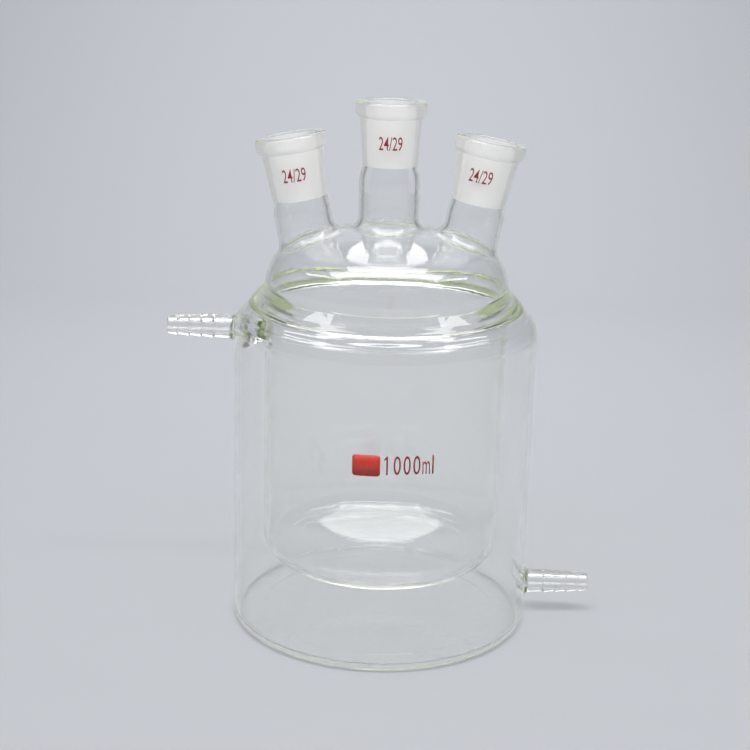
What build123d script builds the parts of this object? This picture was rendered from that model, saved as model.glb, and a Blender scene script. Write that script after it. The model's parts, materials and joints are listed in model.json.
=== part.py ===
from build123d import *
from math import acos, asin, cos, degrees, radians, sin, tan
import os

# Jacketed three neck flask, blown and fused from borosilicate glass: one piece of glass.
# Millimetres. +Z is up, the origin is the centre of the foot, and the necks and the hose
# tails lie in the XZ plane.

# ---- jacket: the outer cylinder round the vessel, standing on its flat floor ----
water_gap = 11.9
jacket_wall = 2.6
floor_thickness = 3.0
foot_edge_radius = 3.8
floor_corner_radius = 2.2
shoulder_corner_height = 149.6
shoulder_slope = 50.0
shoulder_radius = 11.0

# ---- vessel: the inner cylinder with its dished bottom and domed top ----
vessel_od = 115.0
vessel_wall = 2.3
vessel_bottom_height = 24.0
vessel_dish_radius = 150.0
vessel_corner_radius = 13.0
dome_crown_radius = 120.0
dome_knuckle_radius = 21.5

# ---- ring seal: where the jacket is fused to the vessel ----
seal_outside_radius = 7.3
seal_inside_radius = 3.6

# ---- ground sockets, size 24/29: 24 mm wide at the mouth, 29 mm long, taper 1 in 10 ----
socket_mouth_diameter = 24.0
socket_ground_length = 29.0
socket_taper = 0.1
socket_mouth_wall = 2.7
socket_end_wall = 2.1
mouth_edge_radius = 0.7
bead_od = 33.0
bead_height = 5.6
bead_underside_height = 2.0
bead_edge_radius = 1.4
bead_underside_radius = 1.2

# ---- necks: each carries a socket ----
centre_rim_rise = 57.6
centre_neck_od = 28.5
side_neck_od = 26.8
neck_wall = 2.2
side_rim_rise = 69.3
side_rim_inset = 10.9
side_neck_tilt = 10.0
waist_length = 5.5
waist_radius = 12.0
gap_between_roots = 0.3

# ---- hose tails: water goes in low on the right and out high on the left ----
tail_length = 32.0
upper_tail_drop = 5.3
lower_tail_height = 17.4
tail_large_diameter = 11.2
tail_tip_diameter = 8.2
tail_bore_diameter = 5.0
tail_root_radius = 3.6
tail_bore_root_radius = 2.6
tail_root_land = 1.0
tail_ring_count = 4
tail_ring_rise = 0.45
tail_ring_step = 0.6
tail_end_land = 4.5
tail_edge_radius = 0.7

# ---- places that follow from the sizes above ----
vessel_radius = vessel_od / 2
vessel_bore_radius = vessel_radius - vessel_wall
jacket_bore_radius = vessel_radius + water_gap
jacket_radius = jacket_bore_radius + jacket_wall
shoulder_rise = tan(radians(shoulder_slope))
shoulder_drop = jacket_wall / cos(radians(shoulder_slope))
seal_height = shoulder_corner_height + (jacket_radius - vessel_radius) * shoulder_rise

corner_reach = vessel_radius - vessel_corner_radius
dish_to_corner = vessel_dish_radius - vessel_corner_radius
dish_angle = degrees(asin(corner_reach / dish_to_corner))
dish_centre_height = vessel_bottom_height + vessel_dish_radius
vessel_corner_height = dish_centre_height - dish_to_corner * cos(radians(dish_angle))

knuckle_reach = vessel_radius - dome_knuckle_radius
crown_to_knuckle = dome_crown_radius - dome_knuckle_radius
knuckle_angle = degrees(acos(knuckle_reach / crown_to_knuckle))
crown_centre_height = seal_height - crown_to_knuckle * sin(radians(knuckle_angle))
dome_top_height = crown_centre_height + dome_crown_radius

socket_mouth_radius = socket_mouth_diameter / 2
socket_end_depth = mouth_edge_radius + socket_ground_length
socket_end_radius = socket_mouth_radius - socket_ground_length * socket_taper / 2
neck_tube_depth = socket_end_depth + waist_length
overall_height = dome_top_height + centre_rim_rise
side_rim_reach = vessel_radius - side_rim_inset
side_rim_height = seal_height + side_rim_rise

# the blends at the foot of the necks fill the gap between them
side_neck_lean = tan(radians(side_neck_tilt)) * (side_rim_height - dome_top_height)
side_tube_half_width = side_neck_od / 2 / cos(radians(side_neck_tilt))
neck_gap = side_rim_reach - side_neck_lean - side_tube_half_width - centre_neck_od / 2
neck_root_radius = (neck_gap - gap_between_roots) / 2

tail_large_radius = tail_large_diameter / 2
tail_tip_radius = tail_tip_diameter / 2
tail_bore_radius = tail_bore_diameter / 2
tail_reach = jacket_radius + tail_length
upper_tail_height = shoulder_corner_height - upper_tail_drop
cut_past = 2.0


def dome_curve(inset):
    """Draw the dome from its edge to its top: a knuckle arc, then a flatter crown arc."""
    knuckle_centre = (knuckle_reach, seal_height)
    crown_centre = (0, crown_centre_height)
    CenterArc(knuckle_centre, dome_knuckle_radius - inset, 0, knuckle_angle)
    CenterArc(crown_centre, dome_crown_radius - inset, knuckle_angle, 90 - knuckle_angle)


def bottom_curve(inset):
    """Draw the vessel's bottom from its middle to its wall: a shallow dish, then a corner arc."""
    corner_centre = (corner_reach, vessel_corner_height)
    dish_centre = (0, dish_centre_height)
    CenterArc(dish_centre, vessel_dish_radius - inset, -90, dish_angle)
    CenterArc(corner_centre, vessel_corner_radius - inset, dish_angle - 90, 90 - dish_angle)


def round_corner(outline, corner, radius):
    """Round the corner of a flat outline that lies at (across, up)."""
    nearest = outline.vertices().sort_by_distance(Vector(*corner))[0]
    fillet(nearest, radius=radius)


def round_mouth(radius, height, edge_radius):
    """Draw the rounded edge of a bore's mouth, from the flat rim round into the bore."""
    CenterArc((radius + edge_radius, height - edge_radius), edge_radius, 90, 90)


def neck_plane(reach, height, tilt):
    """Plane through a neck's axis: across is its radius, up is its axis, 0 is its rim."""
    lean = radians(tilt)
    return Plane(origin=(reach, 0, height), x_dir=(cos(lean), 0, -sin(lean)), z_dir=(0, -1, 0))


def neck_foot(plane):
    """Place on a neck's own axis where it is at the height of the ring seal."""
    return (seal_height - plane.origin.Z) / plane.y_dir.Z


def tail_plane(side, height):
    """Plane through a hose tail's axis: across is its radius, up is the way out."""
    return Plane(origin=(0, 0, height), x_dir=(0, 0, 1), z_dir=(0, side, 0))


def turn(outline, plane):
    """Turn a flat outline about the up axis of its plane, to add it to the part in hand."""
    revolve(outline, axis=Axis(plane.origin, plane.y_dir))


body_plane = Plane.YZ
necks = [
    (neck_plane(0, overall_height, 0), centre_neck_od),
    (neck_plane(-side_rim_reach, side_rim_height, -side_neck_tilt), side_neck_od),
    (neck_plane(side_rim_reach, side_rim_height, side_neck_tilt), side_neck_od),
]
tails = [tail_plane(-1, upper_tail_height), tail_plane(1, lower_tail_height)]


def body_outside():
    """Outline of the outside: jacket, sloping shoulder, ring seal and dome."""
    foot = (jacket_radius, 0)
    shoulder = (jacket_radius, shoulder_corner_height)
    seal = (vessel_radius, seal_height)
    with BuildSketch(body_plane) as outline:
        with BuildLine():
            Polyline((0, 0), foot, shoulder, seal)
            dome_curve(0)
            Line((0, dome_top_height), (0, 0))
        make_face()
        round_corner(outline, foot, foot_edge_radius)
        round_corner(outline, shoulder, shoulder_radius)
        round_corner(outline, seal, seal_outside_radius)
    return outline.sketch


def vessel_inside():
    """Outline of the space in the vessel, up to the inside of its dome."""
    with BuildSketch(body_plane) as outline:
        with BuildLine():
            bottom_curve(vessel_wall)
            Line((vessel_bore_radius, vessel_corner_height), (vessel_bore_radius, seal_height))
            dome_curve(vessel_wall)
            Line((0, dome_top_height - vessel_wall), (0, vessel_bottom_height + vessel_wall))
        make_face()
    return outline.sketch


def water_inside():
    """Outline of the water space, between the jacket and the vessel and under the vessel."""
    floor_corner = (jacket_bore_radius, floor_thickness)
    shoulder_inset = jacket_wall * shoulder_rise
    shoulder = (jacket_bore_radius, shoulder_corner_height + shoulder_inset - shoulder_drop)
    seal = (vessel_radius, seal_height - shoulder_drop)
    with BuildSketch(body_plane) as outline:
        with BuildLine():
            Polyline(
                (0, vessel_bottom_height),
                (0, floor_thickness),
                floor_corner,
                shoulder,
                seal,
                (vessel_radius, vessel_corner_height),
            )
            bottom_curve(0)
        make_face()
        round_corner(outline, floor_corner, floor_corner_radius)
        round_corner(outline, shoulder, shoulder_radius - jacket_wall)
        round_corner(outline, seal, seal_inside_radius)
    return outline.sketch


def neck_outside(plane, tube_od):
    """Outline of a neck: bead, tapered socket, waist and tube, as if it were solid."""
    bead_radius = bead_od / 2
    tube_radius = tube_od / 2
    underside = -(bead_height + bead_underside_height)
    socket_top = socket_mouth_radius + underside * socket_taper / 2 + socket_mouth_wall
    socket_end = socket_end_radius + socket_end_wall
    with BuildSketch(plane) as outline:
        with BuildLine():
            Polyline(
                (0, 0),
                (bead_radius, 0),
                (bead_radius, -bead_height),
                (socket_top, underside),
                (socket_end, -socket_end_depth),
                (tube_radius, -neck_tube_depth),
                (tube_radius, neck_foot(plane)),
                (0, neck_foot(plane)),
                close=True,
            )
        make_face()
        round_corner(outline, (bead_radius, 0), bead_edge_radius)
        round_corner(outline, (bead_radius, -bead_height), bead_edge_radius)
        round_corner(outline, (socket_top, underside), bead_underside_radius)
        round_corner(outline, (socket_end, -socket_end_depth), waist_radius)
        round_corner(outline, (tube_radius, -neck_tube_depth), waist_radius)
    return outline.sketch


def neck_inside(plane, tube_od):
    """Outline of a neck's bore: ground cone, then the tube that opens into the vessel."""
    bore_radius = tube_od / 2 - neck_wall
    flare_radius = socket_mouth_radius + mouth_edge_radius
    with BuildSketch(plane) as outline:
        with BuildLine():
            Polyline((0, cut_past), (flare_radius, cut_past), (flare_radius, 0))
            round_mouth(socket_mouth_radius, 0, mouth_edge_radius)
            Polyline(
                (socket_mouth_radius, -mouth_edge_radius),
                (socket_end_radius, -socket_end_depth),
                (bore_radius, -neck_tube_depth),
                (bore_radius, neck_foot(plane)),
                (0, neck_foot(plane)),
                (0, cut_past),
            )
        make_face()
        round_corner(outline, (bore_radius, -neck_tube_depth), waist_radius)
    return outline.sketch


def tail_outside(plane):
    """Outline of a hose tail: a taper with low rings and a round tip, as if it were solid."""
    taper_start = jacket_radius + tail_root_radius + tail_root_land
    taper_length = tail_reach - taper_start
    taper = (tail_large_radius - tail_tip_radius) / taper_length
    ring_pitch = (taper_length - tail_end_land) / tail_ring_count
    rings = []
    for ring in reversed(range(tail_ring_count)):
        crest = tail_reach - tail_end_land - ring * ring_pitch
        foot = crest - tail_ring_step
        rings.append((tail_large_radius - (foot - taper_start) * taper, foot))
        rings.append((tail_large_radius - (crest - taper_start) * taper + tail_ring_rise, crest))
    with BuildSketch(plane) as outline:
        with BuildLine():
            Polyline(
                (0, vessel_radius),
                (tail_large_radius, vessel_radius),
                (tail_large_radius, taper_start),
                *rings,
                (tail_tip_radius, tail_reach),
                (0, tail_reach),
                close=True,
            )
        make_face()
        round_corner(outline, (tail_tip_radius, tail_reach), tail_edge_radius)
    return outline.sketch


def tail_inside(plane):
    """Outline of a hose tail's bore, from the water space to its tip."""
    flare_radius = tail_bore_radius + tail_edge_radius
    past_tip = tail_reach + cut_past
    bore_start = jacket_bore_radius - cut_past
    with BuildSketch(plane) as outline:
        with BuildLine():
            Polyline((0, past_tip), (flare_radius, past_tip), (flare_radius, tail_reach))
            round_mouth(tail_bore_radius, tail_reach, tail_edge_radius)
            Polyline(
                (tail_bore_radius, tail_reach - tail_edge_radius),
                (tail_bore_radius, bore_start),
                (0, bore_start),
                (0, past_tip),
            )
        make_face()
    return outline.sketch


# ---- the space in the vessel, with the three bores blended into it ----
with BuildPart() as vessel_space:
    turn(vessel_inside(), body_plane)
    for plane, tube_od in necks:
        turn(neck_inside(plane, tube_od), plane)
        fillet(vessel_space.edges(Select.NEW), radius=neck_root_radius + neck_wall)

# ---- the water space, with the bores of the two hose tails blended into it ----
with BuildPart() as water_space:
    turn(water_inside(), body_plane)
    for plane in tails:
        turn(tail_inside(plane), plane)
        fillet(water_space.edges(Select.NEW), radius=tail_bore_root_radius)

# ---- the glass: the outside less the two spaces ----
with BuildPart() as flask:
    turn(body_outside(), body_plane)
    for plane, tube_od in necks:
        turn(neck_outside(plane, tube_od), plane)
        fillet(flask.edges(Select.NEW), radius=neck_root_radius)
    for plane in tails:
        turn(tail_outside(plane), plane)
        fillet(flask.edges(Select.NEW), radius=tail_root_radius)
    add(vessel_space.part, mode=Mode.SUBTRACT)
    add(water_space.part, mode=Mode.SUBTRACT)

flask.part.label = "flask"
os.makedirs("parts", exist_ok=True)
export_step(flask.part, "parts/flask.step")
print("flask volume, ml of glass:", round(flask.part.volume / 1000, 1))
print("vessel space, ml:", round(vessel_space.part.volume / 1000))
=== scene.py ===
import json
from math import acos, asin, atan2, ceil, cos, hypot, pi, radians, sin, sqrt, tan

import bmesh
import bpy
from mathutils import Matrix, Vector


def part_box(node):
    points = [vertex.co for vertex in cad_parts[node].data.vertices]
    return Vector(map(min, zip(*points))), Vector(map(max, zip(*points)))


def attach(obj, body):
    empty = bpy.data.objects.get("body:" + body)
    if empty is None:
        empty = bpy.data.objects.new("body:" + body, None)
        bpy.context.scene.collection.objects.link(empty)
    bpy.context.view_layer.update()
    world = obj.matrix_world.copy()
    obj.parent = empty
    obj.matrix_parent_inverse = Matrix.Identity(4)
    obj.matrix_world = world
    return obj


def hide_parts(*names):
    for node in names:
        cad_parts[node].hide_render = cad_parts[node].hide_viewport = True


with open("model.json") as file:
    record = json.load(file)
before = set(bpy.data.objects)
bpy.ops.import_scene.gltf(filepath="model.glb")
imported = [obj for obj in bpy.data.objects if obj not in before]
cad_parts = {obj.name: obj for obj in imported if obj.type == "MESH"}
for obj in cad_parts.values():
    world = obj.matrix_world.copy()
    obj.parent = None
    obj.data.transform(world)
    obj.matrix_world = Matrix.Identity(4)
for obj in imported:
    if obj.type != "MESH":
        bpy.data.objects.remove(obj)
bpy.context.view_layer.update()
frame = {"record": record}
mm = 0.001

# ---------------------------------------------------------------------------------------
# Sizes, in metres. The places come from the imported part: its box and its mounts.
# ---------------------------------------------------------------------------------------
high_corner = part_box("flask")[1]
mounts = {mount["name"]: mount for mount in frame["record"]["mounts"]}

# The print lies on the glass and inside the part's box, so the jacket is that much smaller.
print_room = 0.03 * mm
jacket_radius = high_corner.y - print_room

# jacket
water_gap = 11.9 * mm
jacket_wall = 2.6 * mm
floor_thickness = 3.0 * mm
foot_edge_radius = 3.8 * mm
floor_corner_radius = 2.2 * mm
shoulder_corner_height = 149.6 * mm
shoulder_slope = radians(50)
shoulder_radius = 11.0 * mm

# vessel
vessel_wall = 2.3 * mm
vessel_bottom_height = 24.0 * mm
vessel_dish_radius = 150.0 * mm
vessel_corner_radius = 13.0 * mm
crown_radius = 120.0 * mm
knuckle_radius = 21.5 * mm
vessel_radius = high_corner.y - jacket_wall - water_gap

# ring seal
seal_outside_radius = 7.3 * mm
seal_inside_radius = 3.6 * mm
seal_height = shoulder_corner_height + (high_corner.y - vessel_radius) * tan(shoulder_slope)

# dome: a knuckle arc, then a flatter crown arc
knuckle_reach = vessel_radius - knuckle_radius
knuckle_angle = acos(knuckle_reach / (crown_radius - knuckle_radius))
crown_centre = seal_height - (crown_radius - knuckle_radius) * sin(knuckle_angle)

# bottom: a shallow dish, then a corner arc
corner_reach = vessel_radius - vessel_corner_radius
dish_angle = asin(corner_reach / (vessel_dish_radius - vessel_corner_radius))
dish_centre = vessel_bottom_height + vessel_dish_radius
vessel_corner_height = dish_centre - (vessel_dish_radius - vessel_corner_radius) * cos(dish_angle)

# sockets and necks, along each neck's own axis; a depth is measured down from the rim
socket_mouth_radius = 12.0 * mm
socket_end_radius = 10.55 * mm
socket_end_depth = 29.7 * mm
socket_end_wall = 2.1 * mm
socket_top_outside = 14.32 * mm
mouth_edge_radius = 0.7 * mm
ground_start_depth = 1.0 * mm
lip_end_depth = 5.6 * mm
bead_radius = 16.5 * mm
bead_height = 5.6 * mm
bead_underside_depth = 7.6 * mm
bead_edge_radius = 1.4 * mm
bead_underside_radius = 1.2 * mm
waist_length = 5.5 * mm
waist_radius = 12.0 * mm
neck_tube_depth = socket_end_depth + waist_length
neck_join_depth = 40.1 * mm
neck_wall = 2.2 * mm
neck_root_radius = 5.55 * mm
neck_tube_radius = {"centre_socket": 14.25 * mm, "left_socket": 13.4 * mm, "right_socket": 13.4 * mm}

# hose tails, along each tail's own axis; a place is measured out from the jacket's axis
tail_large_radius = 5.6 * mm
tail_tip_radius = 4.1 * mm
tail_bore_radius = 2.5 * mm
tail_root_radius = 3.6 * mm
tail_bore_root_radius = 2.6 * mm
tail_root_land = 1.0 * mm
tail_start = high_corner.y + tail_root_radius + tail_root_land - high_corner.x
tail_ring_count = 4
tail_ring_rise = 0.45 * mm
tail_ring_step = 0.6 * mm
tail_end_land = 4.5 * mm
tail_edge_radius = 0.7 * mm
tail_ring_softness = 0.35 * mm

# how far in along its axis a stem may meet the body, for a neck and for a hose tail
neck_search_end = -70.0 * mm
tail_search_end = -60.0 * mm

# fineness of the meshes
body_steps = 156
neck_steps = 96
tail_steps = 64
pitch = 5.0 * mm
arc_pitch = 1.6 * mm
arc_turn = radians(7)
line_guard = 0.35 * mm
root_steps = 10
halvings = 40
skin_passes = 3
slope_step = 0.01 * mm
hole_clearance = 0.3 * mm
merge_distance = 0.5e-6


# ---------------------------------------------------------------------------------------
# Outlines: lists of (across, up) points
# ---------------------------------------------------------------------------------------
def arc(centre, radius, start, end):
    """Points along an arc, from one angle to another."""
    turn = abs(end - start)
    parts = max(2, ceil(turn / arc_turn), ceil(turn * radius / arc_pitch))
    angles = [start + (end - start) * part / parts for part in range(parts + 1)]
    return [(centre[0] + radius * cos(angle), centre[1] + radius * sin(angle)) for angle in angles]


def rounded(corners):
    """Points along a line of (across, up, radius) corners, each rounded by its radius."""
    points = [corners[0][:2]]
    for before, corner, after in zip(corners, corners[1:], corners[2:]):
        here = Vector(corner[:2])
        back = (Vector(before[:2]) - here).normalized()
        ahead = (Vector(after[:2]) - here).normalized()
        radius = corner[2]
        if radius == 0:
            points.append(corner[:2])
            continue
        half = back.angle(ahead) / 2
        centre = here + (back + ahead).normalized() * radius / sin(half)
        reach = radius / tan(half)
        first, last = here + back * reach - centre, here + ahead * reach - centre
        start = atan2(first.y, first.x)
        turn = atan2(last.y, last.x) - start
        turn = (turn + pi) % (2 * pi) - pi
        points += arc(centre, radius, start, start + turn)
    points.append(corners[-1][:2])
    return points


def with_runs(points):
    """Adds points along each straight run: close to its ends, and at an even pitch between."""
    full = [points[0]]
    for start, end in zip(points, points[1:]):
        start, end = Vector(start), Vector(end)
        length = (end - start).length
        if length > pitch:
            parts = ceil((length - 2 * line_guard) / pitch)
            inner = length - 2 * line_guard
            places = [line_guard + inner * part / parts for part in range(parts + 1)]
            full += [tuple(start.lerp(end, place / length)) for place in places]
        if length > merge_distance:
            full.append(tuple(end))
    return full


def dome_outline(inset, start=0.0):
    """The dome from an angle on its knuckle to its top."""
    knuckle = arc((knuckle_reach, seal_height), knuckle_radius - inset, start, knuckle_angle)
    return knuckle + arc((0, crown_centre), crown_radius - inset, knuckle_angle, pi / 2)[1:]


def bottom_outline(inset):
    """The vessel's dished bottom, from its middle out to its wall."""
    dish = arc((0, dish_centre), vessel_dish_radius - inset, -pi / 2, dish_angle - pi / 2)
    corner_centre = (corner_reach, vessel_corner_height)
    return dish + arc(corner_centre, vessel_corner_radius - inset, dish_angle - pi / 2, 0)[1:]


def body_outside():
    """The outside: foot, jacket, shoulder, the hollow blend at the ring seal, and the dome."""
    slope_out = Vector((sin(shoulder_slope), cos(shoulder_slope)))
    slope_down = Vector((cos(shoulder_slope), -sin(shoulder_slope)))
    knuckle_centre = Vector((knuckle_reach, seal_height))
    # the blend's centre is its own radius off the slope, and both radii off the knuckle's centre
    off_slope = Vector((jacket_radius, shoulder_corner_height)) + slope_out * seal_outside_radius
    towards = off_slope - knuckle_centre
    span = knuckle_radius + seal_outside_radius
    down = towards.dot(slope_down)
    blend_centre = off_slope - slope_down * (down - sqrt(down**2 - towards.length_squared + span**2))
    slope_end = blend_centre - slope_out * seal_outside_radius
    to_knuckle = (knuckle_centre - blend_centre).normalized()
    dome_start = atan2(-to_knuckle.y, -to_knuckle.x)
    low_line = rounded(
        [
            (0, 0, 0),
            (jacket_radius, 0, foot_edge_radius),
            (jacket_radius, shoulder_corner_height, shoulder_radius),
            (*slope_end, 0),
        ]
    )
    blend = arc(blend_centre, seal_outside_radius, -(pi / 2 + shoulder_slope), dome_start - pi)
    return with_runs(low_line + blend[1:] + dome_outline(0, dome_start)[1:])


def vessel_inside():
    """The inside of the vessel, from the middle of its bottom to the top of its dome."""
    return with_runs(bottom_outline(vessel_wall) + dome_outline(vessel_wall))


def water_inside():
    """The water space, round from the middle of its floor to the vessel's bottom."""
    bore = jacket_radius - jacket_wall
    drop = jacket_wall / cos(shoulder_slope)
    shoulder_rise = (jacket_radius - bore) * tan(shoulder_slope)
    walls = rounded(
        [
            (0, floor_thickness, 0),
            (bore, floor_thickness, floor_corner_radius),
            (bore, shoulder_corner_height + shoulder_rise - drop, shoulder_radius - jacket_wall),
            (vessel_radius, seal_height - drop, seal_inside_radius),
            (vessel_radius, vessel_corner_height, 0),
        ]
    )
    return with_runs(walls + bottom_outline(0)[::-1][1:])


# ---------------------------------------------------------------------------------------
# Surfaces: how far a point lies outside a skin of the body, for joining necks and tails
# ---------------------------------------------------------------------------------------
def dome_gap(point, inset):
    """Distance of a point above the dome, or above the dome's inside for a wall's inset."""
    across, up = hypot(point.x, point.y), point.z - crown_centre
    if atan2(up, across) > knuckle_angle:
        return hypot(across, up) - crown_radius + inset
    return hypot(across - knuckle_reach, point.z - seal_height) - knuckle_radius + inset


def jacket_gap(point, inset):
    """Distance of a point outside the jacket and its shoulder, or outside their inside."""
    across = hypot(point.x, point.y)
    bend_centre = jacket_radius - shoulder_radius
    bend_height = shoulder_corner_height - shoulder_radius * tan((pi / 2 - shoulder_slope) / 2)
    if point.z < bend_height:
        return across - jacket_radius + inset
    angle = atan2(point.z - bend_height, across - bend_centre)
    if angle < pi / 2 - shoulder_slope:
        return hypot(across - bend_centre, point.z - bend_height) - shoulder_radius + inset
    off_corner = Vector((across - jacket_radius, point.z - shoulder_corner_height))
    return off_corner.dot(Vector((sin(shoulder_slope), cos(shoulder_slope)))) + inset


def slope_of(gap, point, inset):
    """Which way is straight out of a skin at a point."""
    ways = [Vector(way) * slope_step for way in ((1, 0, 0), (0, 1, 0), (0, 0, 1))]
    return Vector([gap(point + way, inset) - gap(point - way, inset) for way in ways]).normalized()


class Stem:
    """A neck or a hose tail: an axis that points out of the body, and the skin it stands on."""

    def __init__(self, name, gap, steps, start, end):
        mount = mounts[name]
        self.name = name
        self.origin = Vector(mount["pos_m"])
        self.axis = Vector(mount["axis"]).normalized()
        self.side = Vector((0, 1, 0)).cross(self.axis).normalized()
        self.back = self.axis.cross(self.side)
        self.gap = gap
        self.steps = steps
        self.start = start
        self.end = end

    def out(self, step):
        """Which way is straight off the axis, at one of the steps round it."""
        angle = 2 * pi * step / self.steps
        return self.side * cos(angle) + self.back * sin(angle)

    def root(self, start_ring, radius, blend, inset):
        """Rings of points: a tube's last ring, then round a blend on to the body's skin."""
        rings = [[] for _ in range(root_steps + 1)]
        for step in range(self.steps):
            out = self.out(step)
            near, far = self.start, self.end
            for _ in range(halvings):
                middle = (near + far) / 2
                if self.gap(self.origin + out * radius + self.axis * middle, inset) > 0:
                    near = middle
                else:
                    far = middle
            meet = self.origin + out * radius + self.axis * near
            away = self.along_skin(meet, out, inset)
            turn = (-self.axis).angle(away)
            reach = blend * tan(turn / 2)
            first = meet + self.axis * reach
            last = meet + away * reach
            for _ in range(skin_passes):
                last -= slope_of(self.gap, last, inset) * self.gap(last, inset)
            away = self.along_skin(last, out, inset)
            handle = blend * tan(turn / 4) * 4 / 3
            second, third = first - self.axis * handle, last - away * handle
            for place, ring in enumerate(rings):
                t = place / root_steps
                s = 1 - t
                ring.append(first * s**3 + second * 3 * s * s * t + third * 3 * s * t * t + last * t**3)
        return [start_ring] + rings

    def along_skin(self, point, out, inset):
        """Which way the skin runs off from the stem, at a point, in the plane of its axis."""
        normal = slope_of(self.gap, point, inset)
        return (out * normal.dot(self.axis) - self.axis * normal.dot(out)).normalized()

    def ring(self, radius, place):
        """A level ring of points round the axis."""
        return [self.origin + self.out(step) * radius + self.axis * place for step in range(self.steps)]


# ---------------------------------------------------------------------------------------
# Meshes
# ---------------------------------------------------------------------------------------
def spun(points, steps, origin=Vector((0, 0, 0)), axis=Vector((0, 0, 1)), side=Vector((1, 0, 0))):
    """A new mesh: an outline turned all round an axis."""
    mesh = bmesh.new()
    verts = [mesh.verts.new(origin + side * across + axis * up) for across, up in points]
    edges = [mesh.edges.new(pair) for pair in zip(verts, verts[1:])]
    bmesh.ops.spin(
        mesh, geom=verts + edges, cent=origin, axis=axis, angle=2 * pi, steps=steps, use_merge=True
    )
    bmesh.ops.remove_doubles(mesh, verts=mesh.verts[:], dist=merge_distance)
    return mesh


def lofted(rings):
    """A new mesh: a tube through rings of points."""
    mesh = bmesh.new()
    loops = []
    for ring in rings:
        verts = [mesh.verts.new(point) for point in ring]
        loops.append([mesh.edges.new(pair) for pair in zip(verts, verts[1:] + verts[:1])])
    for first, second in zip(loops, loops[1:]):
        bmesh.ops.bridge_loops(mesh, edges=first + second)
    return mesh


def open_skin(mesh, stems_and_rims, normal):
    """Cuts a hole in a skin for each stem, and joins the hole's edge to the stem's last ring."""
    old_rims = {edge for edge in mesh.edges if edge.is_boundary}
    doomed = set()
    for stem, rim in stems_and_rims:
        reaches = []
        for point in rim:
            off = point - stem.origin
            reaches.append((off - stem.axis * off.dot(stem.axis)).length)
        inside = set()
        for vert in mesh.verts:
            off = vert.co - stem.origin
            place = off.dot(stem.axis)
            off -= stem.axis * place
            beside = stem.end - hole_clearance <= place <= stem.start + hole_clearance
            if not beside or off.length > max(reaches) + hole_clearance:
                continue
            turn = atan2(off.dot(stem.back), off.dot(stem.side)) / (2 * pi) * stem.steps
            near = reaches[int(turn // 1) % stem.steps]
            far = reaches[int(turn // 1 + 1) % stem.steps]
            if off.length < near + (far - near) * (turn % 1) + hole_clearance:
                inside.add(vert)
        doomed |= {face for vert in inside for face in vert.link_faces}
    bmesh.ops.delete(mesh, geom=list(doomed), context="FACES")
    edges = [edge for edge in mesh.edges if edge.is_boundary and edge not in old_rims]
    for stem, rim in stems_and_rims:
        verts = [mesh.verts.new(point) for point in rim]
        edges += [mesh.edges.new(pair) for pair in zip(verts, verts[1:] + verts[:1])]
    bmesh.ops.triangle_fill(mesh, use_beauty=True, edges=edges, normal=normal)
    return mesh


def joined(meshes):
    """One mesh from several, merged where they meet."""
    whole = bmesh.new()
    for mesh in meshes:
        part = bpy.data.meshes.new("part")
        mesh.to_mesh(part)
        mesh.free()
        whole.from_mesh(part)
        bpy.data.meshes.remove(part)
    bmesh.ops.remove_doubles(whole, verts=whole.verts[:], dist=merge_distance)
    bmesh.ops.recalc_face_normals(whole, faces=whole.faces[:])
    return whole


def piece(name, mesh, *materials):
    """Makes a mesh into a smooth piece of the object, riding on its one body."""
    data = bpy.data.meshes.new(name)
    mesh.to_mesh(data)
    mesh.free()
    data.shade_smooth()
    for material in materials:
        data.materials.append(material)
    item = bpy.data.objects.new(name, data)
    bpy.context.scene.collection.objects.link(item)
    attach(item, "root")
    return item


# ---------------------------------------------------------------------------------------
# The flask
# ---------------------------------------------------------------------------------------
necks = [
    Stem(name, dome_gap, neck_steps, -neck_join_depth, neck_search_end)
    for name in neck_tube_radius
]
tails = [
    Stem(name, jacket_gap, tail_steps, tail_start, tail_search_end)
    for name in ("upper_hose_tail", "lower_hose_tail")
]

# The finishes of the glass. Until the skins are joined, a face keeps its own as its material.
clear_glass, ground_glass, ground_lip, satin_bead = range(4)
matt_of_finish = {clear_glass: 0.0, ground_glass: 1.0, ground_lip: 0.8, satin_bead: 0.35}
matt_to_painted_shadow = 0.2


def neck_line(tube_radius):
    """A neck's own outline, from its tube up its outside, over the bead and down its bore."""
    mouth_centre = (socket_mouth_radius + mouth_edge_radius, -mouth_edge_radius)
    mouth = arc(mouth_centre, mouth_edge_radius, pi / 2, pi)
    outside = rounded(
        [
            (tube_radius, -neck_join_depth, 0),
            (tube_radius, -neck_tube_depth, waist_radius),
            (socket_end_radius + socket_end_wall, -socket_end_depth, waist_radius),
            (socket_top_outside, -bead_underside_depth, bead_underside_radius),
            (bead_radius, -bead_height, bead_edge_radius),
            (bead_radius, 0, bead_edge_radius),
            (*mouth[0], 0),
        ]
    )
    bore_radius = tube_radius - neck_wall
    bore = rounded(
        [
            (socket_end_radius, -socket_end_depth, 0),
            (bore_radius, -neck_tube_depth, waist_radius),
            (bore_radius, -neck_join_depth, 0),
        ]
    )
    return with_runs(outside + mouth[1:] + bore)


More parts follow.
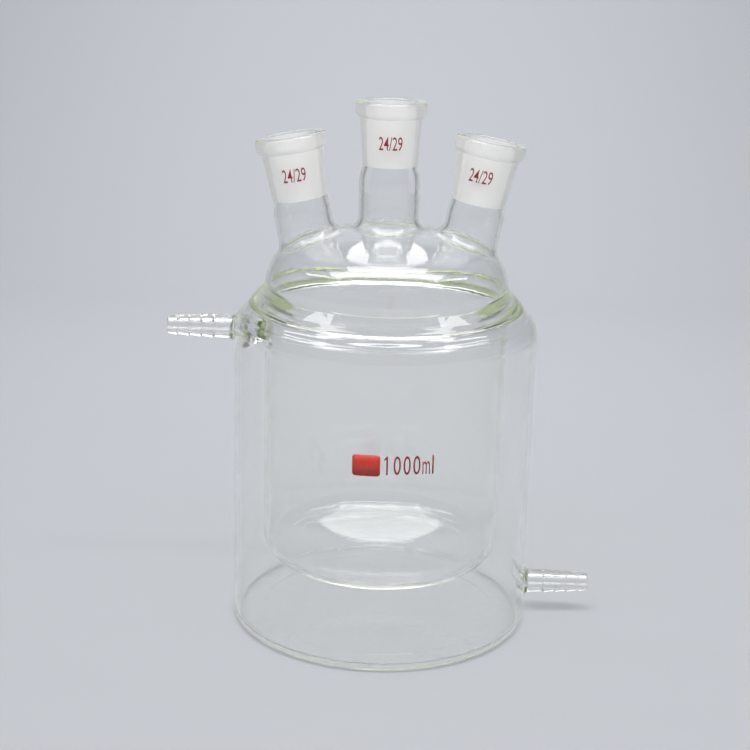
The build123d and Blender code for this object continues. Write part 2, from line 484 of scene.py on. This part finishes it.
def tail_line():
    """A hose tail's own outline, from its large end out to its tip and back along its bore."""
    corners = [(tail_large_radius, tail_start, 0)]
    taper = (tail_large_radius - tail_tip_radius) / -tail_start
    ring_pitch = (-tail_start - tail_end_land) / tail_ring_count
    for number in reversed(range(tail_ring_count)):
        crest = -tail_end_land - number * ring_pitch
        foot = crest - tail_ring_step
        corners.append((tail_large_radius - (foot - tail_start) * taper, foot, tail_ring_softness))
        crest_radius = tail_large_radius - (crest - tail_start) * taper + tail_ring_rise
        corners.append((crest_radius, crest, tail_ring_softness))
    mouth_centre = (tail_bore_radius + tail_edge_radius, -tail_edge_radius)
    mouth = arc(mouth_centre, tail_edge_radius, pi / 2, pi)
    corners += [(tail_tip_radius, 0, tail_edge_radius), (*mouth[0], 0)]
    return with_runs(rounded(corners) + mouth[1:] + [(tail_bore_radius, tail_start)])


def mark_finishes(mesh, neck):
    """Marks the ground faces in a socket, and the satin ones on the outside of its bead."""
    for face in mesh.faces:
        off = face.calc_center_median() - neck.origin
        depth = -off.dot(neck.axis)
        across = (off + neck.axis * depth).length
        if ground_start_depth < depth < socket_end_depth and across < socket_mouth_radius:
            face.material_index = ground_lip if depth < lip_end_depth else ground_glass
        elif (
            bead_edge_radius / 2 < depth < bead_underside_depth
            and across > socket_top_outside + line_guard
        ):
            face.material_index = satin_bead


def name_zones(mesh):
    """Turns each face's finish and place into the two values that the glass material reads."""
    matt = mesh.faces.layers.float.new("matt")
    thick = mesh.faces.layers.float.new("thick")
    for face in mesh.faces:
        middle = face.calc_center_median()
        on_tail = hypot(middle.x, middle.y) > jacket_radius + line_guard and middle.z < seal_height
        face[matt] = matt_of_finish[face.material_index]
        # the thick value paints a darker shadow: tail faces, and ground faces a little, let less light
        # straight through
        face[thick] = max(float(on_tail), matt_to_painted_shadow * face[matt])
        face.material_index = 0


def flask_glass():
    """All skins of the glass, as one closed mesh."""
    outer_skin = spun(body_outside(), body_steps)
    vessel_skin = spun(vessel_inside(), body_steps)
    water_skin = spun(water_inside(), body_steps)
    stems, outer_rims, inner_rims = [], [], []
    for neck in necks:
        tube_radius = neck_tube_radius[neck.name]
        bore_radius = tube_radius - neck_wall
        tube = spun(neck_line(tube_radius), neck_steps, neck.origin, neck.axis, neck.side)
        mark_finishes(tube, neck)
        outer_end = neck.ring(tube_radius, -neck_join_depth)
        inner_end = neck.ring(bore_radius, -neck_join_depth)
        outer_root = neck.root(outer_end, tube_radius, neck_root_radius, 0)
        inner_root = neck.root(inner_end, bore_radius, neck_root_radius + neck_wall, vessel_wall)
        outer_rims.append((neck, outer_root[-1]))
        inner_rims.append((neck, inner_root[-1]))
        stems += [tube, lofted(outer_root), lofted(inner_root)]
    open_skin(outer_skin, outer_rims, (0, 0, 1))
    open_skin(vessel_skin, inner_rims, (0, 0, 1))
    for tail in tails:
        tube = spun(tail_line(), tail_steps, tail.origin, tail.axis, tail.side)
        outer_end = tail.ring(tail_large_radius, tail_start)
        inner_end = tail.ring(tail_bore_radius, tail_start)
        outer_root = tail.root(outer_end, tail_large_radius, tail_root_radius, 0)
        inner_root = tail.root(inner_end, tail_bore_radius, tail_bore_root_radius, jacket_wall)
        open_skin(outer_skin, [(tail, outer_root[-1])], tail.axis)
        open_skin(water_skin, [(tail, inner_root[-1])], tail.axis)
        stems += [tube, lofted(outer_root), lofted(inner_root)]
    glass = joined([outer_skin, vessel_skin, water_skin] + stems)
    name_zones(glass)
    return glass


# ---------------------------------------------------------------------------------------
# Materials: colours are linear
# ---------------------------------------------------------------------------------------
glass_index = 1.473
glass_tint = (0.83, 0.91, 0.59)
glass_depth_density = 7.0

# ground glass: its colour, how much of it scatters like chalk, and its grain
clear_colour = (1.0, 1.0, 1.0)
ground_colour = (0.86, 0.86, 0.87)
chalk_colour = (0.82, 0.815, 0.805)
chalk_share = 0.78
ground_roughness = (0.5, 0.62)
ground_fineness = 2600.0

# rings from the glass lathe: their fineness, their depth, and how strongly each zone shows them
ring_fineness = 330.0
ring_depth = 0.3 * mm
shoulder_rings, dome_rings, bottom_rings = 1.0, 0.18, 0.3
shoulder_rings_start = (shoulder_corner_height - 7 * mm, shoulder_corner_height - 2 * mm)
shoulder_rings_end = (seal_height - 6 * mm, seal_height - 8 * mm)
dome_rings_start = (seal_height + 6 * mm, seal_height + 12 * mm)

# light that goes straight through, for shadows and soft light: how much passes each surface, with a
# painted darker shadow at tails and ground glass, and painted shadow in each ring of the foot
thin_pass = (0.988, 0.988, 0.988)
painted_shadow_grey = (0.7, 0.7, 0.7)
foot_painted_shadow_height = (2.95 * mm, 2.9 * mm)
foot_painted_shadow_band = (64.0 * mm, 72.4 * mm)
foot_painted_shadow_stops = ((0.12, 0.99), (0.22, 0.62), (0.34, 0.85), (0.5, 0.85), (0.57, 0.5), (0.63, 0.36), (1.0, 0.27))
most_meetings = 30.0

# enamel and paper
block_reds = ((0.45, 0.034, 0.024), (0.52, 0.046, 0.034))
letter_reds = ((0.22, 0.016, 0.02), (0.27, 0.02, 0.024))
enamel_roughness = 0.35
enamel_fineness = 900.0
enamel_bump_strength = 0.2
enamel_bump_depth = 0.01 * mm
paper_colour = (0.353, 0.364, 0.387)
paper_roughness = 0.75
paper_specular = 0.2


def new_material(name):
    """An empty node material, and its nodes and links."""
    material = bpy.data.materials.new(name)
    material.use_nodes = True
    nodes, links = material.node_tree.nodes, material.node_tree.links
    nodes.clear()
    return material, nodes, links


def new_group(name, inputs, outputs):
    """An empty shader node group with these named inputs and outputs."""
    group = bpy.data.node_groups.new(name, "ShaderNodeTree")
    for socket_name, value in inputs:
        socket = group.interface.new_socket(socket_name, in_out="INPUT", socket_type="NodeSocketFloat")
        socket.default_value = value
    for socket_name in outputs:
        group.interface.new_socket(socket_name, in_out="OUTPUT", socket_type="NodeSocketFloat")
    entry = group.nodes.new("NodeGroupInput")
    leave = group.nodes.new("NodeGroupOutput")
    return group, entry.outputs, leave.inputs


def add_node(nodes, kind, values=(), operation=""):
    """Adds a node, and sets its operation and these of its inputs."""
    node = nodes.new("ShaderNode" + kind)
    if operation:
        node.operation = operation
    for socket_name, value in dict(values).items():
        node.inputs[socket_name].default_value = value
    return node


def add_group(nodes, group, fineness):
    """Adds a node for a group, with its own fineness."""
    node = add_node(nodes, "Group")
    node.node_tree = group
    node.inputs["Fineness"].default_value = fineness
    return node


def attribute(nodes, name):
    """The value that the mesh's faces carry under a name."""
    node = add_node(nodes, "Attribute")
    node.attribute_name = name
    return node.outputs["Fac"]


def climb(nodes, links, value, start, full, top=1.0):
    """A value that climbs from nought to a top, while another goes from a start to full."""
    node = add_node(nodes, "MapRange", {"From Min": start, "From Max": full, "To Max": top})
    links.new(value, node.inputs["Value"])
    return node.outputs["Result"]


def combined(nodes, links, operation, first, second):
    """Two values put together. The second may be a plain number."""
    node = add_node(nodes, "Math", operation=operation)
    links.new(first, node.inputs[0])
    if isinstance(second, float):
        node.inputs[1].default_value = second
    else:
        links.new(second, node.inputs[1])
    return node.outputs["Value"]


def blended(nodes, links, factor, *colours):
    """A colour between two, each of which may be a plain colour."""
    node = nodes.new("ShaderNodeMix")
    node.data_type = "RGBA"
    links.new(factor, node.inputs["Factor"])
    for socket_name, colour in zip("AB", colours):
        if isinstance(colour, tuple):
            node.inputs[socket_name].default_value = (*colour, 1)
        else:
            links.new(colour, node.inputs[socket_name])
    return node.outputs["Result"]


def across_and_up(nodes, links):
    """How far each place lies from the flask's axis, and how high."""
    place = add_node(nodes, "TexCoord")
    split = add_node(nodes, "SeparateXYZ")
    level = add_node(nodes, "CombineXYZ")
    reach = add_node(nodes, "VectorMath", operation="LENGTH")
    links.new(place.outputs["Object"], split.inputs["Vector"])
    links.new(split.outputs["X"], level.inputs["X"])
    links.new(split.outputs["Y"], level.inputs["Y"])
    links.new(level.outputs["Vector"], reach.inputs[0])
    return reach.outputs["Value"], split.outputs["Z"]


def worked_glass_rings():
    """Group: the faint rings that a glass lathe leaves where the glass is worked, as a height."""
    group, given, result = new_group("worked_glass_rings", [("Fineness", ring_fineness)], ["Height"])
    nodes, links = group.nodes, group.links
    across, up = across_and_up(nodes, links)
    section = add_node(nodes, "CombineXYZ")
    noise = add_node(nodes, "TexNoise", {"Detail": 1.0})
    links.new(across, section.inputs["X"])
    links.new(up, section.inputs["Z"])
    links.new(section.outputs["Vector"], noise.inputs["Vector"])
    links.new(given["Fineness"], noise.inputs["Scale"])
    above = climb(nodes, links, up, *shoulder_rings_start, shoulder_rings)
    below = climb(nodes, links, up, *shoulder_rings_end)
    shoulder = combined(nodes, links, "MULTIPLY", above, below)
    dome = climb(nodes, links, up, *dome_rings_start, dome_rings)
    bottom = climb(nodes, links, up, vessel_corner_height, vessel_bottom_height, bottom_rings)
    vessel = climb(nodes, links, across, vessel_radius + line_guard, vessel_radius)
    vessel_bottom = combined(nodes, links, "MULTIPLY", bottom, vessel)
    above_vessel = combined(nodes, links, "MAXIMUM", shoulder, dome)
    worked = combined(nodes, links, "MAXIMUM", above_vessel, vessel_bottom)
    links.new(combined(nodes, links, "MULTIPLY", noise.outputs["Fac"], worked), result["Height"])
    return group


def fine_grain():
    """Group: an even fine grain, as a height and as a mask."""
    group, given, result = new_group("fine_grain", [("Fineness", ground_fineness)], ["Height", "Mask"])
    nodes, links = group.nodes, group.links
    place = add_node(nodes, "TexCoord")
    noise = add_node(nodes, "TexNoise", {"Detail": 3.0})
    links.new(place.outputs["Object"], noise.inputs["Vector"])
    links.new(given["Fineness"], noise.inputs["Scale"])
    links.new(noise.outputs["Fac"], result["Height"])
    links.new(climb(nodes, links, noise.outputs["Fac"], 0.3, 0.7), result["Mask"])
    return group


def pass_with_painted_shadow(nodes, links):
    """How much light passes straight through, as a painted shadow: less at thick glass and ground glass,
    and painted in dark bands under the foot, least at its edge.
    """
    across, up = across_and_up(nodes, links)
    ramp = add_node(nodes, "ValToRGB")
    for stop, place in zip(ramp.color_ramp.elements, (foot_painted_shadow_stops[0], foot_painted_shadow_stops[-1])):
        stop.position, grey = place
        stop.color = (grey, grey, grey, 1)
    for position, grey in foot_painted_shadow_stops[1:-1]:
        ramp.color_ramp.elements.new(position).color = (grey, grey, grey, 1)
    # painted shadow bands under the foot's edge, set by how far a place lies from the axis
    links.new(climb(nodes, links, across, *foot_painted_shadow_band), ramp.inputs["Fac"])
    painted_shadow_by_face = blended(nodes, links, attribute(nodes, "thick"), thin_pass, painted_shadow_grey)
    foot_painted_shadow_mask = climb(nodes, links, up, *foot_painted_shadow_height)
    return blended(nodes, links, foot_painted_shadow_mask, painted_shadow_by_face, ramp.outputs["Color"])


def flask_borosilicate():
    """Blown borosilicate glass: clear, green where it is thick, and matt where it is ground."""
    material, nodes, links = new_material("borosilicate_glass")
    shader = add_node(nodes, "BsdfPrincipled", {"IOR": glass_index, "Transmission Weight": 1.0})
    matt = attribute(nodes, "matt")
    links.new(blended(nodes, links, matt, clear_colour, ground_colour), shader.inputs["Base Color"])

    grain = add_group(nodes, grain_group, ground_fineness)
    least, most = ground_roughness
    ground = add_node(nodes, "MapRange", {"To Min": least, "To Max": most})
    links.new(grain.outputs["Mask"], ground.inputs["Value"])
    roughness = combined(nodes, links, "MULTIPLY", ground.outputs["Result"], matt)
    links.new(roughness, shader.inputs["Roughness"])

    rings = add_group(nodes, lathe_rings, ring_fineness)
    bump = add_node(nodes, "Bump", {"Strength": 1.0, "Distance": ring_depth})
    links.new(rings.outputs["Height"], bump.inputs["Height"])
    links.new(bump.outputs["Normal"], shader.inputs["Normal"])

    # ground glass also scatters light like chalk
    chalk = add_node(nodes, "BsdfDiffuse", {"Color": (*chalk_colour, 1)})
    milky = add_node(nodes, "MixShader")
    links.new(combined(nodes, links, "MULTIPLY", matt, chalk_share), milky.inputs["Fac"])
    links.new(shader.outputs["BSDF"], milky.inputs[1])
    links.new(chalk.outputs["BSDF"], milky.inputs[2])

    # shadows, soft light and light that has been caught in the wall for long pass straight on
    path = add_node(nodes, "LightPath")
    soft = combined(nodes, links, "MAXIMUM", path.outputs["Is Shadow Ray"], path.outputs["Is Diffuse Ray"])
    caught = combined(nodes, links, "GREATER_THAN", path.outputs["Ray Depth"], most_meetings)
    straight = add_node(nodes, "BsdfTransparent")
    choice = add_node(nodes, "MixShader")
    # light that passes straight on takes the painted shadow colour
    links.new(pass_with_painted_shadow(nodes, links), straight.inputs["Color"])
    links.new(combined(nodes, links, "MAXIMUM", soft, caught), choice.inputs["Fac"])
    links.new(milky.outputs["Shader"], choice.inputs[1])
    links.new(straight.outputs["BSDF"], choice.inputs[2])

    depth = add_node(
        nodes, "VolumeAbsorption", {"Color": (*glass_tint, 1), "Density": glass_depth_density}
    )
    output = add_node(nodes, "OutputMaterial")
    links.new(choice.outputs["Shader"], output.inputs["Surface"])
    links.new(depth.outputs["Volume"], output.inputs["Volume"])
    return material


def red_enamel(name, thin_colour, full_colour):
    """Thin red enamel, fired on to the glass."""
    material, nodes, links = new_material(name)
    shader = add_node(nodes, "BsdfPrincipled", {"Roughness": enamel_roughness})
    grain = add_group(nodes, grain_group, enamel_fineness)
    bump = add_node(nodes, "Bump", {"Strength": enamel_bump_strength, "Distance": enamel_bump_depth})
    output = add_node(nodes, "OutputMaterial")
    colour = blended(nodes, links, grain.outputs["Mask"], thin_colour, full_colour)
    links.new(colour, shader.inputs["Base Color"])
    links.new(grain.outputs["Height"], bump.inputs["Height"])
    links.new(bump.outputs["Normal"], shader.inputs["Normal"])
    links.new(shader.outputs["BSDF"], output.inputs["Surface"])
    return material


def studio_paper():
    """The pale paper that the flask stands on."""
    material, nodes, links = new_material("studio_paper")
    shader = add_node(
        nodes,
        "BsdfPrincipled",
        {
            "Base Color": (*paper_colour, 1),
            "Roughness": paper_roughness,
            "Specular IOR Level": paper_specular,
        },
    )
    output = add_node(nodes, "OutputMaterial")
    links.new(shader.outputs["BSDF"], output.inputs["Surface"])
    return material


lathe_rings = worked_glass_rings()
grain_group = fine_grain()
block_enamel = red_enamel("red_enamel", *block_reds)
letter_enamel = red_enamel("dark_red_enamel", *letter_reds)

flask = piece("flask_glass", flask_glass(), flask_borosilicate())
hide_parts("flask")


# ---------------------------------------------------------------------------------------
# Print: thin red enamel on the glass
# ---------------------------------------------------------------------------------------
enamel_thickness = 0.018 * mm
enamel_clearance = 0.01 * mm
enamel_bend_pitch = 0.57 * mm
upright, rightward = Vector((0, 0, 1)), Vector((1, 0, 0))

block_middle = (-7.0 * mm, 101.0 * mm)
block_size = (12.5 * mm, 9.9 * mm)
block_corner_radius = 1.5 * mm

volume_mark_height = 101.3 * mm
figure_height = 8.8 * mm
# each glyph of the volume mark: its middle across, its width and its height
volume_glyphs = [
    ("1", 2.3 * mm, 0.72 * mm, figure_height),
    ("0", 6.8 * mm, 3.2 * mm, figure_height),
    ("0", 11.2 * mm, 3.2 * mm, figure_height),
    ("0", 15.6 * mm, 3.2 * mm, figure_height),
    ("m", 19.9 * mm, 3.5 * mm, 6.0 * mm),
    ("l", 23.0 * mm, 0.72 * mm, figure_height),
]
# the flag of the figure one: its corners, each across from the stem's middle and down from the top
flag_corners = ((-0.1 * mm, 0), (-1.25 * mm, 1.5 * mm), (-1.25 * mm, 2.3 * mm))
flag_foot = 1.5 * mm

size_mark_size = (11.0 * mm, 6.2 * mm)
size_mark_weight = 0.002
# where each socket's size mark lies: down from the rim, and round to the right
size_mark_places = {
    "centre_socket": (17.9 * mm, 0),
    "left_socket": (17.1 * mm, 0),
    "right_socket": (15.8 * mm, -2.5 * mm),
}


def sign(words, width, height, weight=0.0):
    """A thin flat mesh of these characters, centred, lying in the XY plane."""
    curve = bpy.data.curves.new("sign", "FONT")
    curve.body = words
    curve.extrude = enamel_thickness / 2
    curve.offset = weight
    curve.resolution_u = 4
    item = bpy.data.objects.new("sign", curve)
    data = bpy.data.meshes.new_from_object(item)
    mesh = bmesh.new()
    mesh.from_mesh(data)
    bpy.data.objects.remove(item)
    bpy.data.meshes.remove(data)
    bpy.data.curves.remove(curve)
    across = [vert.co.x for vert in mesh.verts]
    up = [vert.co.y for vert in mesh.verts]
    middle = Vector(((min(across) + max(across)) / 2, (min(up) + max(up)) / 2, 0))
    scale = (width / (max(across) - min(across)), height / (max(up) - min(up)), 1)
    bmesh.ops.translate(mesh, verts=mesh.verts[:], vec=-middle)
    bmesh.ops.scale(mesh, verts=mesh.verts[:], vec=scale)
    return mesh


def figure_one(width, height):
    """A thin flat figure one with a flag, its stem centred, lying in the XY plane."""
    half, top = width / 2, height / 2
    corners = [(half, -top), (half, top)]
    corners += [(across, top - down) for across, down in flag_corners]
    corners += [(-half, top - flag_foot), (-half, -top)]
    mesh = bmesh.new()
    face = mesh.faces.new([mesh.verts.new((*corner, -enamel_thickness / 2)) for corner in corners])
    raised = bmesh.ops.extrude_face_region(mesh, geom=[face], use_keep_orig=True)["geom"]
    lifted = [item for item in raised if isinstance(item, bmesh.types.BMVert)]
    bmesh.ops.translate(mesh, verts=lifted, vec=(0, 0, enamel_thickness))
    return mesh


def block(width, height, corner_radius):
    """A thin flat plate with round corners, centred, lying in the XY plane."""
    mesh = bmesh.new()
    bmesh.ops.create_cube(mesh, size=1)
    bmesh.ops.scale(mesh, verts=mesh.verts[:], vec=(width, height, enamel_thickness))
    corners = [
        edge for edge in mesh.edges if abs(edge.verts[0].co.z - edge.verts[1].co.z) > enamel_thickness / 2
    ]
    bmesh.ops.bevel(
        mesh, geom=corners, offset=corner_radius, segments=6, profile=0.5, affect="EDGES", material=-1
    )
    return mesh


def shifted(mesh, across, up=0.0):
    """Moves a flat mesh in its own plane."""
    bmesh.ops.translate(mesh, verts=mesh.verts[:], vec=(across, up, 0))
    return mesh


def wrapped(mesh, origin, axis, side, radius_at):
    """Bends a flat mesh round an axis, on a surface whose radius follows the place on the axis."""
    bmesh.ops.remove_doubles(mesh, verts=mesh.verts[:], dist=merge_distance)
    reach = max(abs(vert.co.x) for vert in mesh.verts)
    cuts = int(reach / enamel_bend_pitch)
    for cut in range(-cuts, cuts + 1):
        geometry = mesh.verts[:] + mesh.edges[:] + mesh.faces[:]
        place = (cut * enamel_bend_pitch, 0, 0)
        bmesh.ops.bisect_plane(mesh, geom=geometry, plane_co=place, plane_no=(1, 0, 0))
    front = side.cross(axis)
    for vert in mesh.verts:
        radius = radius_at(vert.co.y)
        turn = vert.co.x / radius
        out = side * sin(turn) + front * cos(turn)
        rise = radius + enamel_clearance + enamel_thickness / 2 + vert.co.z
        vert.co = origin + axis * vert.co.y + out * rise
    bmesh.ops.recalc_face_normals(mesh, faces=mesh.faces[:])
    return mesh


def on_jacket(mesh, height):
    """Bends a flat mesh round the jacket, at a height."""
    return wrapped(mesh, upright * height, upright, rightward, lambda place: jacket_radius)


def volume_word():
    """The volume mark, flat: its glyphs side by side, on one line."""
    glyphs = []
    for glyph, middle, width, height in volume_glyphs:
        mesh = figure_one(width, height) if glyph == "1" else sign(glyph, width, height)
        glyphs.append(shifted(mesh, middle, (height - figure_height) / 2))
    return joined(glyphs)


def size_mark(neck):
    """A socket's size mark, on the socket's slightly tapered outside."""
    depth, shift = size_mark_places[neck.name]
    taper = (socket_top_outside - socket_end_radius - socket_end_wall) / (
        socket_end_depth - bead_underside_depth
    )
    radius = socket_top_outside - (depth - bead_underside_depth) * taper
    letters = shifted(sign("24/29", *size_mark_size, size_mark_weight), shift)
    middle = neck.origin - neck.axis * depth
    return wrapped(letters, middle, neck.axis, neck.side, lambda place: radius + place * taper)


piece("volume_mark", on_jacket(volume_word(), volume_mark_height), letter_enamel)
block_across, block_height = block_middle
red_block = shifted(block(*block_size, block_corner_radius), block_across)
piece("red_block", on_jacket(red_block, block_height), block_enamel)
for neck in necks:
    piece(neck.name + "_size_mark", size_mark(neck), letter_enamel)


# ---------------------------------------------------------------------------------------
# Studio: paper, lights and camera
# ---------------------------------------------------------------------------------------
paper_half_width = 3.0
paper_front = -2.5
paper_bend_radius = 0.45
paper_bend_start = 0.65
paper_top = 2.6

camera_place = (-0.0006, -0.72640, 0.33324)
camera_pitch, camera_yaw, camera_roll = radians(16.226), radians(-0.305), radians(1.487)
camera_lens = 75.43
camera_sensor = 36

world_colour = (0.93, 0.95, 0.98)
world_strength = 0.13
most_bounces = 128

side_strip_turn = radians(42)
# how a light works: one that only shows as a highlight, and two that only light things up
highlight = {"lights_paper": False}
unseen = {"seen": False}
unseen_with_shadow = {"seen": False, "shadow": True}
turned_left, turned_right = [{**highlight, "turn": turn} for turn in (-side_strip_turn, side_strip_turn)]
# each light: its name, its place, what it faces, its size, its power in watts, and how it works
lights = [
    ("key_light", (0, -0.5, 1.1), (0, -0.5, 0), (1.2, 0.1), 12.8, unseen_with_shadow),
    ("front_strip", (0, -0.54, 1.1), (0, -0.54, 0), (1.7, 0.12), 6.0, highlight),
    ("side_strip", (-0.98, -0.04, 1.1), (-0.98, -0.04, 0), (0.85, 0.08), 1.5, turned_left),
    ("side_strip", (0.98, -0.04, 1.1), (0.98, -0.04, 0), (0.85, 0.08), 1.5, turned_right),
    ("middle_strip", (0, -0.16, 1.1), (0, -0.16, 0), (1.4, 0.26), 8.0, highlight),
    ("rear_strip", (0, 0.11, 1.1), (0, 0.11, 0), (0.7, 0.18), 2.9, highlight),
    ("back_disc", (0, 0.69, 1.115), (0, 0, 0.05), (0.47, 0.92), 3.0, {**highlight, "shape": "ELLIPSE"}),
    ("backdrop_light", (0, 0.60, 1.0), (0, 0.66, 0), (0.9, 0.5), 12.2, unseen),
    ("front_fill", (0, -1.5, 0.5), (0, 0, 0.2), (1.6, 0.6), 1.5, unseen_with_shadow),
    ("side_fill", (-1.2, -0.6, 0.5), (0, 0, 0.2), (0.6, 0.6), 5.6, unseen),
    ("side_fill", (1.2, -0.6, 0.5), (0, 0, 0.2), (0.6, 0.6), 5.6, unseen),
]


def studio_floor():
    """A flat sheet of paper that curves up behind the flask."""
    mesh = bmesh.new()
    bend = arc((paper_bend_start, paper_bend_radius), paper_bend_radius, -pi / 2, 0)
    line = [(paper_front, 0)] + bend + [(paper_bend_start + paper_bend_radius, paper_top)]
    verts = [mesh.verts.new((-paper_half_width, across, up)) for across, up in line]
    edges = [mesh.edges.new(pair) for pair in zip(verts, verts[1:])]
    swept = bmesh.ops.extrude_edge_only(mesh, edges=edges)["geom"]
    far = [item for item in swept if isinstance(item, bmesh.types.BMVert)]
    bmesh.ops.translate(mesh, verts=far, vec=(2 * paper_half_width, 0, 0))
    data = bpy.data.meshes.new("paper")
    mesh.to_mesh(data)
    mesh.free()
    data.shade_smooth()
    data.materials.append(studio_paper())
    item = bpy.data.objects.new("paper", data)
    bpy.context.scene.collection.objects.link(item)


def softbox(
    name, place, aim, size, power, shape="RECTANGLE", turn=0.0, seen=True, lights_paper=True, shadow=False
):
    """A soft light at a place, turned towards a point."""
    light = bpy.data.lights.new(name, "AREA")
    light.shape = shape
    light.size, light.size_y = size
    light.energy = power
    light.use_shadow = shadow
    item = bpy.data.objects.new(name, light)
    item.location = place
    turned = (Vector(aim) - Vector(place)).to_track_quat("-Z", "Y").to_matrix()
    item.rotation_euler = (turned @ Matrix.Rotation(turn, 3, "Z")).to_euler()
    item.visible_glossy = seen
    item.visible_transmission = seen
    item.visible_diffuse = lights_paper
    bpy.context.scene.collection.objects.link(item)


def studio_camera():
    """The camera, in front of the flask and above it, looking a little down."""
    pitch, yaw, roll = camera_pitch, camera_yaw, camera_roll
    ahead = Vector((sin(yaw) * cos(pitch), cos(yaw) * cos(pitch), -sin(pitch)))
    level = Vector((cos(yaw), -sin(yaw), 0))
    over = level.cross(ahead)
    right = level * cos(roll) + over * sin(roll)
    up = over * cos(roll) - level * sin(roll)
    data = bpy.data.cameras.new("camera")
    data.lens = camera_lens
    data.sensor_width = camera_sensor
    item = bpy.data.objects.new("camera", data)
    turned = Matrix((right, up, -ahead)).transposed().to_4x4()
    item.matrix_world = Matrix.Translation(camera_place) @ turned
    bpy.context.scene.collection.objects.link(item)
    bpy.context.scene.camera = item


def studio_world():
    """The faint even light from all round."""
    world = bpy.data.worlds.new("studio")
    world.use_nodes = True
    background = world.node_tree.nodes["Background"]
    background.inputs["Color"].default_value = (*world_colour, 1)
    background.inputs["Strength"].default_value = world_strength
    bpy.context.scene.world = world


studio_floor()
for *light, way in lights:
    softbox(*light, **way)
studio_camera()
studio_world()

# Light goes through many walls of glass, so it may bounce often.
scene = bpy.context.scene
scene.view_settings.view_transform = "Standard"
scene.cycles.max_bounces = most_bounces
scene.cycles.transmission_bounces = most_bounces
scene.cycles.transparent_max_bounces = most_bounces
scene.cycles.glossy_bounces = most_bounces
